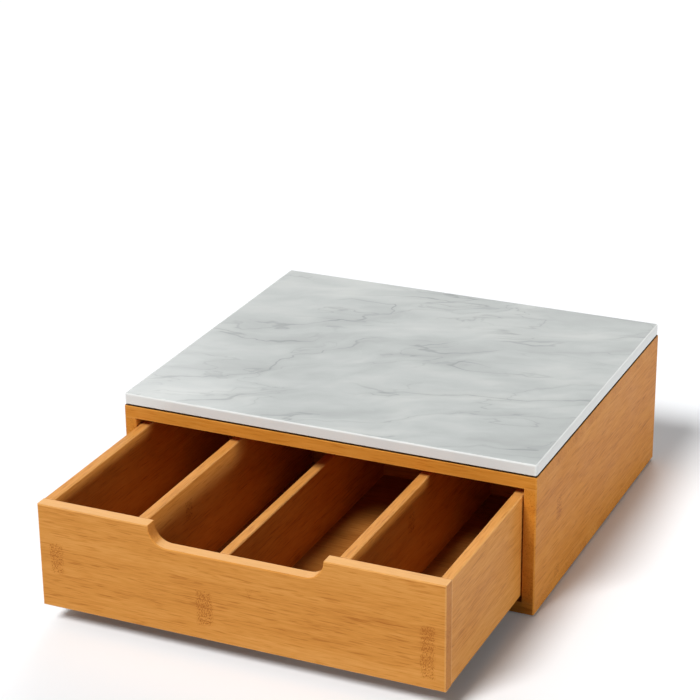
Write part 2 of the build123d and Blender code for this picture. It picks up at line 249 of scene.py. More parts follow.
def new_group(
    name: str, inputs: Sequence[Port], outputs: Sequence[Port]
) -> tuple[Graph, bpy.types.Node, bpy.types.Node]:
    """An empty shader node group.

    Args:
        name: the group's name.
        inputs: its input ports.
        outputs: its output ports.

    Returns:
        Its graph, the node that brings the inputs in and the node that takes the outputs.
    """
    tree = bpy.data.node_groups.new(name, "ShaderNodeTree")
    for in_out, ports in (("INPUT", inputs), ("OUTPUT", outputs)):
        for port in ports:
            tree.interface.new_socket(port.name, in_out=in_out, socket_type=port.kind)
    graph = Graph(tree)
    return graph, graph.add("NodeGroupInput"), graph.add("NodeGroupOutput")


# ---------------------------------------------------------------------- shared node groups
MIDDLE_TONE = 0.5

# The grain's noises run along the fibres, across them and through the board.
FIBRES = Noise((44, 640, 640), weight=0.46)
STREAKS = Noise((12, 230, 230), weight=0.22)
POOLS = Noise((5, 46, 46), weight=0.46)
HAIRS = Noise((90, 1700, 1700), detail=1.0, weight=0.24)
DASHES = Noise((52, 720, 720), detail=1.0, weight=-0.17)
DASH_STEP: Span = (0.57, 0.69)  # from no dash to a whole one, as its noise rises
SWAY = Noise((5, 22, 22), weight=5 * MM)  # how far the fibres wander sideways
STRIP_TONE = 0.08  # how far the strips' tones lie apart
STREAK_HEIGHT = 0.6  # beside the fibres' height
SEED_STEP = (3.71, 1.37, 2.11)  # metres of bamboo between one board and the next
CULM_JOINT = 0.27  # metres from one knuckle to the next in a strip
KNUCKLE_FALL: Span = (4 * MM, 8 * MM)  # from a knuckle's middle: whole, then gone
KNUCKLE_TONE = -0.05
PITS = Noise((1150, 600, 600), detail=1.0, weight=-0.42)  # the stipple of a knuckle
PIT_STEP: Span = (0.50, 0.64)
PIT_HEIGHT = -0.2
STRIP_DRAW, STAGGER_DRAW, LUCK_DRAW = 0.0, 5.0, 9.0  # keep the three random draws apart

MASK_FALL: Span = (0.3, 1.0)  # in shares of a mask's width from the box: whole, then gone

PATCHES = Noise((16, 16, 16), detail=3.0, twist=0.4)
HAIRLINES = Noise((30, 55, 40), detail=1.0, twist=1.6)
HAIRLINE_WIDTH = 0.004  # how near to one half its noise is inside a hairline
SCRATCHED = Noise((11, 11, 11))
SCRATCHED_STEP: Span = (0.55, 0.65)  # from a clean area to a scratched one


def grain_group() -> bpy.types.NodeTree:
    """Bamboo grain: fibres along the first axis, strips side by side, knuckles across them.

    Tone is one half plus weighted noises that are long along the grain and fine across it, less
    dark dashes and less the stipple of the knuckles. Each strip has its own share of tone, and its
    own row of knuckles one culm joint apart.

    Returns:
        The group. Its vector holds the place along, across and through the board, in metres.
    """
    values = ("Seed", "Strip Width", "Knuckle Share", "Placed Knuckle")
    inputs = [Port("Vector", VECTOR), *(Port(name) for name in values)]
    outputs = [Port("Tone"), Port("Height"), Port("Gloss")]
    graph, source, sink = new_group("bamboo_grain", inputs, outputs)
    seed = source.outputs["Seed"]
    shift = graph.vector("MULTIPLY", graph.join(seed, seed, seed), SEED_STEP)
    place = graph.vector("ADD", source.outputs["Vector"], shift)
    sway = graph.lay_noise(place, SWAY, 0.0)
    fibres_at = graph.vector("ADD", place, graph.join(0.0, sway, sway))

    fibres, streaks, pools, hairs, dashes = (
        graph.noise(fibres_at, layer) for layer in (FIBRES, STREAKS, POOLS, HAIRS, DASHES)
    )
    tone: Feed = MIDDLE_TONE
    for noise, layer in ((fibres, FIBRES), (streaks, STREAKS), (pools, POOLS), (hairs, HAIRS)):
        tone = graph.lay(noise, layer.weight, tone)
    tone = graph.math("MULTIPLY_ADD", graph.step(dashes, *DASH_STEP), DASHES.weight, tone)

    along, across, _ = graph.split(place)
    strip = graph.math("FLOOR", graph.math("DIVIDE", across, source.outputs["Strip Width"]))
    tone = graph.lay(graph.chance(graph.join(strip, seed, STRIP_DRAW)), STRIP_TONE, tone)

    stagger = graph.chance(graph.join(strip, seed, STAGGER_DRAW))
    cells = graph.math("ADD", graph.math("DIVIDE", along, CULM_JOINT), stagger)
    luck = graph.chance(graph.join(graph.math("FLOOR", cells), strip, LUCK_DRAW))
    present = graph.math("LESS_THAN", luck, source.outputs["Knuckle Share"])
    off_centre = graph.math("MULTIPLY", graph.from_half(graph.math("FRACT", cells)), CULM_JOINT)
    scattered = graph.math("MULTIPLY", graph.fall(off_centre, *KNUCKLE_FALL), present)
    knuckle = graph.math("MAXIMUM", scattered, source.outputs["Placed Knuckle"])
    pits = graph.math("MULTIPLY", knuckle, graph.step(graph.noise(place, PITS), *PIT_STEP))
    tone = graph.math("MULTIPLY_ADD", knuckle, KNUCKLE_TONE, tone)
    tone = graph.math("MULTIPLY_ADD", pits, PITS.weight, tone)

    height = graph.math("MULTIPLY_ADD", streaks, STREAK_HEIGHT, fibres)
    graph.feed(sink.inputs["Tone"], tone)
    graph.feed(sink.inputs["Height"], graph.math("MULTIPLY_ADD", pits, PIT_HEIGHT, height))
    graph.feed(sink.inputs["Gloss"], fibres)
    return graph.tree


def box_group() -> bpy.types.NodeTree:
    """Masks of a piece's box: its arrises, and its upright sides.

    The place's distances to the three pairs of faces of the piece's box are worked out. Two of
    them are small near an arris, so that mask is a step on the middle one of the three. The
    mask of the sides is a step on the lower one of the distances in plan.

    Returns:
        The group.
    """
    inputs = [*(Port(name, VECTOR) for name in ("Vector", "Centre", "Half Size")), Port("Width")]
    graph, source, sink = new_group("box_masks", inputs, [Port("Arris"), Port("Side")])
    offset = graph.vector("SUBTRACT", source.outputs["Vector"], source.outputs["Centre"])
    away = graph.vector("ABSOLUTE", offset)
    first, second, third = graph.split(graph.vector("SUBTRACT", source.outputs["Half Size"], away))
    lower = graph.math("MINIMUM", first, second)
    higher = graph.math("MAXIMUM", first, second)
    middle = graph.math("MAXIMUM", lower, graph.math("MINIMUM", higher, third))
    for output, distance in (("Arris", middle), ("Side", lower)):
        share = graph.math("DIVIDE", distance, source.outputs["Width"])
        graph.feed(sink.inputs[output], graph.fall(share, *MASK_FALL))
    return graph.tree


def handling_group() -> bpy.types.NodeTree:
    """Traces of handling: broad dull patches with fine hairline scratches over them.

    Returns:
        The group. Patch is about zero, and Scratch is one on a scratch.
    """
    outputs = [Port("Patch"), Port("Scratch")]
    graph, source, sink = new_group("handling", [Port("Vector", VECTOR)], outputs)
    place = source.outputs["Vector"]
    patch = graph.off_half(graph.noise(place, PATCHES))
    hairline = graph.fall(graph.from_half(graph.noise(place, HAIRLINES)), 0.0, HAIRLINE_WIDTH)
    scratched = graph.step(graph.noise(place, SCRATCHED), *SCRATCHED_STEP)
    graph.feed(sink.inputs["Patch"], patch)
    graph.feed(sink.inputs["Scratch"], graph.math("MULTIPLY", hairline, scratched))
    return graph.tree


class Effects:
    """The shared node groups, each built once."""

    def __init__(self) -> None:
        """Build the groups."""
        self.grain = grain_group()
        self.box = box_group()
        self.handling = handling_group()


@dataclass(frozen=True)
class Coat:
    """What lies on a surface: how dull it is, and how strongly it mirrors."""

    roughness: float
    metallic: float = 0.0
    specular: float = 0.5


class Surface:
    """One material under construction: its graph, its place on the object and its shader."""

    def __init__(self, name: str, coat: Coat, effects: Effects) -> None:
        """Start a material.

        Args:
            name: the material's name.
            coat: the constants of its shader.
            effects: the shared node groups.
        """
        self.material = bpy.data.materials.new(name)
        self.material.use_nodes = True
        self.material.node_tree.nodes.clear()
        self.graph = Graph(self.material.node_tree)
        self.effects = effects
        where = self.graph.add("ShaderNodeTexCoord").outputs
        self.place, self.facing = where["Object"], where["Normal"]
        self.shader = self.graph.add("ShaderNodeBsdfPrincipled")
        constants = {
            "Roughness": coat.roughness,
            "Metallic": coat.metallic,
            "Specular IOR Level": coat.specular,
        }
        for socket, value in constants.items():
            self.shader.inputs[socket].default_value = value
        output = self.graph.add("ShaderNodeOutputMaterial")
        self.graph.feed(output.inputs["Surface"], self.shader.outputs[0])

    def use(self, tree: bpy.types.NodeTree, feeds: dict[str, Feed]) -> Sockets:
        """Place a shared group, feed it and give its outputs."""
        return self.graph.add("ShaderNodeGroup", feeds, node_tree=tree).outputs

    def handling(self) -> Sockets:
        """The traces of handling, by name."""
        return self.use(self.effects.handling, {"Vector": self.place})

    def box_masks(self, node: str, width: float) -> Sockets:
        """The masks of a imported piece's box.

        Args:
            node: the piece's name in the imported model.
            width: how far in from the box a mask reaches.

        Returns:
            The masks, by name.
        """
        low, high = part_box(node)
        centre, half = tuple((low + high) / 2), tuple((high - low) / 2)
        feeds = {"Vector": self.place, "Centre": centre, "Half Size": half, "Width": width}
        return self.use(self.effects.box, feeds)

    def finish(
        self, colour: Socket, roughness: Socket, normal: Socket | None = None
    ) -> bpy.types.Material:
        """Join the worked-out maps to the shader.

        Args:
            colour: the base colour over the surface.
            roughness: the dullness over the surface.
            normal: the bent normal, or none for a polished surface.

        Returns:
            The finished material.
        """
        for name, socket in (("Base Color", colour), ("Roughness", roughness), ("Normal", normal)):
            if socket is not None:
                self.graph.feed(self.shader.inputs[name], socket)
        return self.material


# ---------------------------------------------------------------------- wood
WOOD_TONES = (0.12, 0.48, 0.80)  # where the dark, the middle and the light colour lie
LOOKS_ALONG: Span = (0.6, 0.9)  # the normal's part along the grain, from a long face to an end
LOOKS_UP: Span = (0.75, 0.90)  # the normal's upward part, from a side to a face that looks up
PATCH_DULLNESS = 0.18
FIBRE_DULLNESS = -0.12
SCRATCH_DULLNESS = 0.08
GRAIN_BUMP = 0.5
KNUCKLE_EDGE = Noise((90, 160, 90), weight=5 * MM)  # how uneven a placed knuckle's sides are
KNUCKLE_INNER = 2 * MM  # from a placed knuckle's side inwards, where it starts to fade
KNUCKLE_OUTER = 1.5 * MM  # from its side outwards, where it is gone


class GrainLay(Enum):
    """How a board's grain lies: the axes along the fibres, across them and through the board."""

    ALONG_X_FACING_Y = (0, 2, 1)
    ALONG_X_FACING_Z = (0, 1, 2)
    ALONG_Y_FACING_X = (1, 2, 0)
    ALONG_Y_FACING_Z = (1, 0, 2)
    ALONG_Z_FACING_X = (2, 1, 0)


@dataclass(frozen=True)
class KnuckleMark:
    """A knuckle that shows at a known place, in metres from the board's lowest corner."""

    along: float  # its middle along the grain
    across: float  # its middle across the grain
    length: float  # along the grain
    height: float  # across the grain
    share: float = 1.0  # how strongly it shows


@dataclass(frozen=True)
class WoodFinish:
    """A sawn and finished wood: its colours from dark to light and how its grain shows."""

    name: str
    dark: Paint
    middle: Paint
    light: Paint
    sanded_and_highlight: Paint  # on the arrises: sanded wear and a painted highlight
    coat: Coat
    top_light_and_shade: Paint = Paint(250, 206, 146)  # painted top light on the faces that look up, or dark painted shade where a finish sets it dark
    strip_width: float = 21 * MM
    knuckle_share: float = 0.3
    arris_width: float = 1.4 * MM
    arris_share: float = 0.12
    top_light_and_shade_share: float = 0.0
    end_share: float = 0.0  # how far the dark colour covers the sawn ends
    relief: float = 0.10 * MM

    def material(
        self,
        node: str,
        lay: GrainLay,
        seed: float,
        effects: Effects,
        knuckles: Sequence[KnuckleMark] = (),
    ) -> bpy.types.Material:
        """The finish on one board, with the grain laid along it.

        Args:
            node: the board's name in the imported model.
            lay: how the grain lies.
            seed: picks the stretch of grain that the board was cut from.
            effects: the shared node groups.
            knuckles: knuckles at known places, in place of scattered ones.

        Returns:
            The material.
        """
        surface = Surface(f"{self.name}_{node}", self.coat, effects)
        graph = surface.graph
        low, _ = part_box(node)
        axes = lay.value
        parts, facing = graph.split(surface.place), graph.split(surface.facing)
        laid = graph.join(*(parts[axis] for axis in axes))
        placed: Feed = 0.0
        for mark in knuckles:
            corner = [low[axis] for axis in axes]
            placed = graph.math("MAXIMUM", placed, self._placed(graph, laid, mark, corner))
        grain = surface.use(effects.grain, {
            "Vector": laid,
            "Seed": seed,
            "Strip Width": self.strip_width,
            "Knuckle Share": 0.0 if knuckles else self.knuckle_share,
            "Placed Knuckle": placed,
        })
        handling = surface.handling()
        colour = graph.ramp(grain["Tone"], WOOD_TONES, (self.dark, self.middle, self.light))
        end = graph.step(graph.math("ABSOLUTE", facing[axes[0]]), *LOOKS_ALONG)
        colour = graph.cover(colour, end, self.end_share, self.dark)
        # Arrises get a lighter colour: partly sanded wear, partly a painted highlight.
        arris = surface.box_masks(node, self.arris_width)["Arris"]
        colour = graph.cover(colour, arris, self.arris_share, self.sanded_and_highlight)
        # Faces that look up get a painted top light, lighter than the sides; where the colour is dark
        # it is painted shade.
        top_light_and_shade = graph.step(facing[2], *LOOKS_UP)
        colour = graph.cover(colour, top_light_and_shade, self.top_light_and_shade_share, self.top_light_and_shade)
        dullness = self.coat.roughness
        dullness = graph.math("MULTIPLY_ADD", handling["Patch"], PATCH_DULLNESS, dullness)
        dullness = graph.lay(grain["Gloss"], FIBRE_DULLNESS, dullness)
        dullness = graph.math("MULTIPLY_ADD", handling["Scratch"], SCRATCH_DULLNESS, dullness)
        normal = graph.bump(grain["Height"], GRAIN_BUMP, self.relief)
        return surface.finish(colour, dullness, normal)

    @staticmethod
    def _placed(graph: Graph, laid: Socket, mark: KnuckleMark, corner: Sequence[float]) -> Socket:
        """The mask of one knuckle: a box with soft, uneven sides about its place.

        Args:
            graph: the material's graph.
            laid: the place along, across and through the board.
            mark: the knuckle.
            corner: the board's lowest corner along the same three axes.

        Returns:
            The mark's share inside the knuckle and nothing outside.
        """
        ragged = graph.lay_noise(laid, KNUCKLE_EDGE, 0.0)
        along, across, _ = graph.split(laid)
        sides = (
            (along, corner[0] + mark.along, mark.length),
            (across, corner[1] + mark.across, mark.height),
        )
        mask: Feed = mark.share
        for value, middle, size in sides:
            away = graph.math("ABSOLUTE", graph.math("SUBTRACT", value, middle))
            away = graph.math("ADD", away, ragged)
            inside = graph.fall(away, size / 2 - KNUCKLE_INNER, size / 2 + KNUCKLE_OUTER)
            mask = graph.math("MULTIPLY", mask, inside)
        return mask


SATIN = Coat(roughness=0.45, specular=0.12)
CASE_BAMBOO = WoodFinish(
    "case_bamboo",
    dark=Paint(166, 92, 22),
    middle=Paint(204, 131, 46),
    light=Paint(220, 151, 66),
    sanded_and_highlight=Paint(240, 182, 104),
    coat=SATIN,
    knuckle_share=0.1,
)
# The top board's upper face is painted nearly black: painted shade for the dark gap under the slab.
SEAT_BAMBOO_PAINTED_SHADE = replace(
    CASE_BAMBOO, name="seat_bamboo_painted_shade", top_light_and_shade=Paint(52, 30, 14), top_light_and_shade_share=0.92
)
DRAWER_BAMBOO = WoodFinish(
    "drawer_bamboo",
    dark=Paint(172, 101, 38),
    middle=Paint(210, 141, 64),
    light=Paint(226, 160, 85),
    sanded_and_highlight=Paint(248, 200, 134),
    coat=SATIN,
    arris_share=0.25,
    # a faint painted top light on the faces that look up
    top_light_and_shade_share=0.05,
    end_share=0.45,
)
# The front's upper face gets a stronger painted top light, lighter than its face.
FRONT_BAMBOO = replace(DRAWER_BAMBOO, name="front_bamboo", top_light_and_shade_share=0.42)
DIVIDER_BAMBOO = replace(
    DRAWER_BAMBOO, name="divider_bamboo", strip_width=17 * MM, knuckle_share=0.05
)
PANEL_BAMBOO = WoodFinish(
    "panel_bamboo",
    dark=Paint(132, 76, 26),
    middle=Paint(164, 102, 42),
    light=Paint(184, 124, 60),
    sanded_and_highlight=Paint(200, 142, 82),
    coat=Coat(roughness=0.5, specular=0.2),
    strip_width=26 * MM,
    knuckle_share=0.35,
)
RUNNER_BAMBOO = WoodFinish(
    "runner_bamboo",
    dark=Paint(166, 104, 46),
    middle=Paint(204, 142, 74),
    light=Paint(226, 172, 104),
    sanded_and_highlight=Paint(236, 190, 128),
    coat=Coat(roughness=0.55, specular=0.3),
    strip_width=8 * MM,
    knuckle_share=0.1,
)
TURNED_BEECH = WoodFinish(
    "turned_beech",
    dark=Paint(168, 124, 78),
    middle=Paint(208, 168, 116),
    light=Paint(226, 192, 144),
    sanded_and_highlight=Paint(230, 200, 156),
    coat=Coat(roughness=0.7, specular=0.3),
    strip_width=60 * MM,
    knuckle_share=0.0,
    arris_share=0.0,
    end_share=0.3,
)


# ---------------------------------------------------------------------- stone
@dataclass(frozen=True)
class Vein:
    """One kind of vein, where a stretched noise passes through one half."""

    noise: Noise
    width: float  # how near to one half the noise is inside a vein
    share: float  # how far its colour covers the stone


@dataclass(frozen=True)
class MarbleFinish:
    """Polished pale marble with grey clouds and thin soft veins that run across the slab."""

    name: str = "polished_marble"
    cloud: Paint = Paint(166, 170, 168)
    ground: Paint = Paint(180, 184, 182)
    clear: Paint = Paint(192, 195, 192)
    vein: Paint = Paint(128, 133, 132)
    # A pale colour laid on the slab as painted light: a painted highlight on the rims and painted
    # light on the upright sides.
    slab_painted_light: Paint = Paint(232, 233, 231)
    rim_width: float = 1.6 * MM
    rim_highlight_share: float = 0.28
    side_painted_light_share: float = 0.85
    coat: Coat = Coat(roughness=0.16, specular=0.45)
    patch_dullness: float = 0.10
    shift: Point = (0.62, 0.35, 0.0)  # picks the stretch of stone that the slab was cut from
    turn: Point = (0.0, 0.3, math.radians(-21))  # how the stone's bed lies in the slab
    fold: Noise = Noise((8, 13, 13), detail=4.0, weight=60 * MM)
    tones: Sequence[float] = (0.36, 0.50, 0.62)  # where cloud, ground and clear lie
    clouds: Sequence[Noise] = (
        Noise((3.5, 10, 10), detail=3.0, weight=0.50),
        Noise((16, 48, 48), detail=4.0, weight=0.35),
    )
    veins: Sequence[Vein] = (
        Vein(Noise((1.1, 7.5, 7.5), detail=4.0, twist=0.3), width=0.007, share=0.62),
        Vein(Noise((2.4, 16.0, 16.0), detail=4.0, twist=0.3), width=0.008, share=0.40),
    )
    halo_spread: float = 7  # in widths of the vein
    halo_share: float = 0.30
    fade: Noise = Noise((6, 14, 14))
    fade_step: Span = (0.40, 0.58)  # from no vein to a whole one

    def material(self, node: str, effects: Effects) -> bpy.types.Material:
        """The finish on the slab.

        Args:
            node: the slab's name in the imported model.
            effects: the shared node groups.

        Returns:
            The material.
        """
        surface = Surface(self.name, self.coat, effects)
        graph = surface.graph
        mapping = {"Vector": surface.place, "Location": self.shift, "Rotation": self.turn}
        place = graph.add("ShaderNodeMapping", mapping).outputs[0]
        fold = graph.lay_noise(place, self.fold, 0.0)
        folded = graph.vector("ADD", place, graph.join(0.0, fold, fold))
        tone: Feed = MIDDLE_TONE
        for noise in self.clouds:
            tone = graph.lay_noise(folded, noise, tone)
        colour = graph.ramp(tone, self.tones, (self.cloud, self.ground, self.clear))
        for vein in self.veins:
            mask = self._vein_mask(graph, folded, vein)
            colour = graph.cover(colour, mask, vein.share, self.vein)
        # Painted light: the pale colour covers the rims as a painted highlight and the upright sides
        # as painted light.
        masks = surface.box_masks(node, self.rim_width)
        slab_painted_light = graph.math("MULTIPLY", masks["Arris"], self.rim_highlight_share)
        side = graph.math("MULTIPLY", masks["Side"], self.side_painted_light_share)
        colour = graph.mix(graph.math("MAXIMUM", slab_painted_light, side), colour, self.slab_painted_light.linear())
        patch = surface.handling()["Patch"]
        dullness = graph.math("MULTIPLY_ADD", patch, self.patch_dullness, self.coat.roughness)
        return surface.finish(colour, dullness)

    def _vein_mask(self, graph: Graph, place: Socket, vein: Vein) -> Socket:
        """A kind of vein, with a faint halo beside it, fading along its length.

        Args:
            graph: the material's graph.
            place: where the noise is read.
            vein: the kind of vein.

        Returns:
            One on the middle of a vein and nothing away from it.
        """
        level = graph.from_half(graph.noise(place, vein.noise))
        core = graph.fall(level, 0.0, vein.width)
        halo = graph.fall(level, 0.0, vein.width * self.halo_spread, self.halo_share)
        fade = graph.step(graph.noise(place, self.fade), *self.fade_step)
        return graph.math("MULTIPLY", graph.math("MAXIMUM", core, halo), fade)


# ---------------------------------------------------------------------- small parts' finishes
@dataclass(frozen=True)
class SpeckledFinish:
    """A plain moulded or drawn finish: two near colours in a fine speckle, with a fine relief."""

    name: str
    low: Paint
    high: Paint
    coat: Coat
    specks: Noise = Noise((900.0, 900.0, 900.0), detail=3.0)
    tones: Sequence[float] = (0.35, 0.65)  # where low and high lie
    patch_tone: float = 0.6
    patch_dullness: float = 0.2
    bump: float = 0.4
    relief: float = 0.03 * MM

    def material(self, effects: Effects) -> bpy.types.Material:
        """The finished material."""
        surface = Surface(self.name, self.coat, effects)
        graph = surface.graph
        specks = graph.noise(surface.place, self.specks)
        patch = surface.handling()["Patch"]
        tone = graph.math("MULTIPLY_ADD", patch, self.patch_tone, specks)
        colour = graph.ramp(tone, self.tones, (self.low, self.high))
        dullness = graph.math("MULTIPLY_ADD", patch, self.patch_dullness, self.coat.roughness)
        return surface.finish(colour, dullness, graph.bump(specks, self.bump, self.relief))


SOFT_PAD = SpeckledFinish(
    "soft_pad", low=Paint(188, 188, 184), high=Paint(206, 206, 202), coat=Coat(roughness=0.45)
)
BUMPER_DOT = replace(SOFT_PAD, name="bumper_dot")
FOOT_RUBBER = SpeckledFinish(
    "foot_rubber", low=Paint(20, 20, 20), high=Paint(36, 36, 36), coat=Coat(roughness=0.75)
)
STEEL_PIN = SpeckledFinish(
    "steel_pin",
    low=Paint(150, 148, 142),
    high=Paint(186, 184, 178),
    coat=Coat(roughness=0.34, metallic=1.0),
)


# ---------------------------------------------------------------------- turned parts
SAME_PLACE = 6  # decimals of a metre to which the corners of one point agree
SHARP_ANGLE = math.radians(40)  # edges steeper than this stay sharp
DOWEL_NOSE = ((0.7 * MM, 0.0), (0.25 * MM, 0.25 * MM), (0.0, 0.8 * MM))  # inset, height


class Heading(Enum):
    """Which way a turned part points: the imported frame's axes, each in the part's own axes."""

    UP = ((1, 0, 0), (0, 1, 0), (0, 0, 1))
    BACK = ((1, 0, 0), (0, 0, 1), (0, -1, 0))
    FRONT = ((1, 0, 0), (0, 0, -1), (0, 1, 0))
    RIGHT = ((0, 0, 1), (1, 0, 0), (0, 1, 0))


@dataclass(frozen=True)
class Turning:
    """A turned or moulded round part, from its outline.

    The point at step s of the outline and angle u round the axis lies at the step's height, and at
    the step's radius less the flute depth times the larger of zero and the cosine of u times the
    number of flutes. A pole closes the surface at each end.
    """

    outline: Outline  # radius and height, from the lowest ring to the highest
    sides: int = 48
    flutes: int = 0
    flute_depth: float = 0.0

    def surface(self) -> tuple[np.ndarray, np.ndarray, np.ndarray]:
        """The points, the four-sided faces between rings and the three-sided ones at the poles."""
        radius, height = np.array(self.outline).T
        angle = np.linspace(0.0, 2 * math.pi, self.sides, endpoint=False)
        flute = self.flute_depth * np.clip(np.cos(self.flutes * angle), 0.0, None)
        rings = radius[:, None] - flute[None, :]
        levels = np.broadcast_to(height[:, None], rings.shape)
        points = np.stack((rings * np.cos(angle), rings * np.sin(angle), levels), axis=-1)
        poles = np.array([(0.0, 0.0, height[0]), (0.0, 0.0, height[-1])])
        number = np.arange(rings.size).reshape(rings.shape)
        after = np.roll(number, -1, axis=1)
        quads = np.stack((number[:-1], after[:-1], after[1:], number[1:]), axis=-1).reshape(-1, 4)
        low_pole, high_pole = np.full(self.sides, rings.size), np.full(self.sides, rings.size + 1)
        fans = np.concatenate((
            np.stack((low_pole, after[0], number[0]), axis=-1),
            np.stack((high_pole, number[-1], after[-1]), axis=-1),
        ))
        return np.concatenate((points.reshape(-1, 3), poles)), quads, fans


def dowel_outline(radius: float, length: float) -> Outline:
    """The outline of a dowel whose ends are rounded over."""
    nose = [(radius - inset, height) for inset, height in DOWEL_NOSE]
    return (*nose, *((ring, length - height) for ring, height in reversed(nose)))


def solids(node: str) -> list[tuple[np.ndarray, np.ndarray]]:
    """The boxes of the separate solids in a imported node.

    Triangle corners at one place are one point. Each point starts with its own number, and the
    lowest number spreads over every triangle until nothing changes, which leaves one number for
    each solid.

    Args:
        node: the node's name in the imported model.

    Returns:
        The lowest and the highest corner of each solid.
    """
    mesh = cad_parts[node].data
    places = np.empty(len(mesh.vertices) * 3)
    mesh.vertices.foreach_get("co", places)
    corners = np.empty(len(mesh.loops), dtype=np.int32)
    mesh.loops.foreach_get("vertex_index", corners)
    rounded = places.reshape(-1, 3).round(SAME_PLACE)
    points, point_of = np.unique(rounded, axis=0, return_inverse=True)
    triangles = point_of.reshape(-1)[corners].reshape(-1, 3)
    labels, settled = np.arange(len(points)), False
    while not settled:
        lowered = labels.copy()
        np.minimum.at(lowered, triangles, labels[triangles].min(axis=1)[:, None])
        settled = bool((lowered == labels).all())
        labels = lowered
    groups = [points[labels == label] for label in np.unique(labels)]
    return [(group.min(axis=0), group.max(axis=0)) for group in groups]


def turned_piece(
    name: str,
    node: str,
    body: str,
    turning: Turning,
    heading: Heading,
    material: bpy.types.Material,
) -> bpy.types.Object:
    """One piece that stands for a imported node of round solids, with a turned part for each of them.

    A part starts at the middle of its solid's end face and points along the heading.

    Args:
        name: the new piece's name.
        node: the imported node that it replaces.
        body: the body that it rides on.
        turning: the part's shape.
        heading: which way the parts point.
        material: their finish.

    Returns:
        The piece.
    """
    axes = np.array(heading.value, float)
    direction = axes @ (0.0, 0.0, 1.0)
    points, quads, fans = turning.surface()
    places, faces = [], []
    for index, (low, high) in enumerate(solids(node)):
        reach = abs((high - low) @ direction) / 2
        start = (low + high) / 2 - direction * reach
        places.append(points @ axes.T + start)
        faces += (quads + index * len(points)).tolist() + (fans + index * len(points)).tolist()
    mesh = bpy.data.meshes.new(name)
    mesh.from_pydata(np.concatenate(places).tolist(), [], faces)
    mesh.shade_smooth()
    mesh.set_sharp_from_angle(angle=SHARP_ANGLE)
    mesh.materials.append(material)
    piece = bpy.data.objects.new(name, mesh)
    bpy.context.scene.collection.objects.link(piece)
    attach(piece, body)
    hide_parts(node)
    log.info("%s: %d parts for %s", name, len(places), node)
    return piece


def dress(node: str, material: bpy.types.Material) -> None:
    """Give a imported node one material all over."""
    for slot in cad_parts[node].material_slots:
        slot.material = material
    log.info("%s: %s", node, material.name)


@dataclass(frozen=True)
class Board:
    """A packed board: its node, its finish and how its grain lies."""

    node: str
    finish: WoodFinish
    lay: GrainLay
    knuckles: Sequence[KnuckleMark] = ()

    def dress(self, seed: int, effects: Effects) -> None:
        """Finish the board.

        Args:
            seed: picks the stretch of grain that it was cut from.
            effects: the shared node groups.
        """
        dress(self.node, self.finish.material(self.node, self.lay, seed, effects, self.knuckles))


# ---------------------------------------------------------------------- sub-assemblies
# The seed of each sub-assembly's first wooden piece. The next ones follow it.
CASE_SEED, DRAWER_SEED, DOWEL_SEED = 1, 11, 21


@dataclass
class Case:
    """The fixed bamboo box: boards, back panel, runners, bumpers and feet."""

    effects: Effects
    foot: Turning = Turning((
        (7.0 * MM, 0.25 * MM), (7.5 * MM, 0.0), (8.9 * MM, 0.0), (9.4 * MM, 0.12 * MM),
        (9.75 * MM, 0.5 * MM), (9.95 * MM, 1.0 * MM), (10.0 * MM, 1.5 * MM),
    ))
    bumper: Turning = Turning((
        (5.0 * MM, 0.0), (4.95 * MM, 0.5 * MM), (4.7 * MM, 1.0 * MM), (4.2 * MM, 1.4 * MM),
        (3.4 * MM, 1.7 * MM), (2.2 * MM, 1.92 * MM), (1.0 * MM, 2.0 * MM),
    ))

    def dress(self) -> None:
        """Lay each board's grain along its length."""
        boards = (
            Board("base_board", CASE_BAMBOO, GrainLay.ALONG_X_FACING_Z),
            Board("top_board", SEAT_BAMBOO_PAINTED_SHADE, GrainLay.ALONG_X_FACING_Z),
            Board("left_side_board", CASE_BAMBOO, GrainLay.ALONG_Y_FACING_X),
            Board("right_side_board", CASE_BAMBOO, GrainLay.ALONG_Y_FACING_X),
            Board("back_panel", PANEL_BAMBOO, GrainLay.ALONG_X_FACING_Y),
            Board("left_runner", RUNNER_BAMBOO, GrainLay.ALONG_Y_FACING_Z),
            Board("right_runner", RUNNER_BAMBOO, GrainLay.ALONG_Y_FACING_Z),
        )
        for seed, board in enumerate(boards, start=CASE_SEED):
            board.dress(seed, self.effects)

    def build(self) -> None:
        """Mould the feet and the bumpers."""
        rubber = FOOT_RUBBER.material(self.effects)
        clear = BUMPER_DOT.material(self.effects)
        turned_piece("moulded_feet", "feet", "case", self.foot, Heading.UP, rubber)
        turned_piece("domed_bumpers", "back_bumpers", "case", self.bumper, Heading.FRONT, clear)


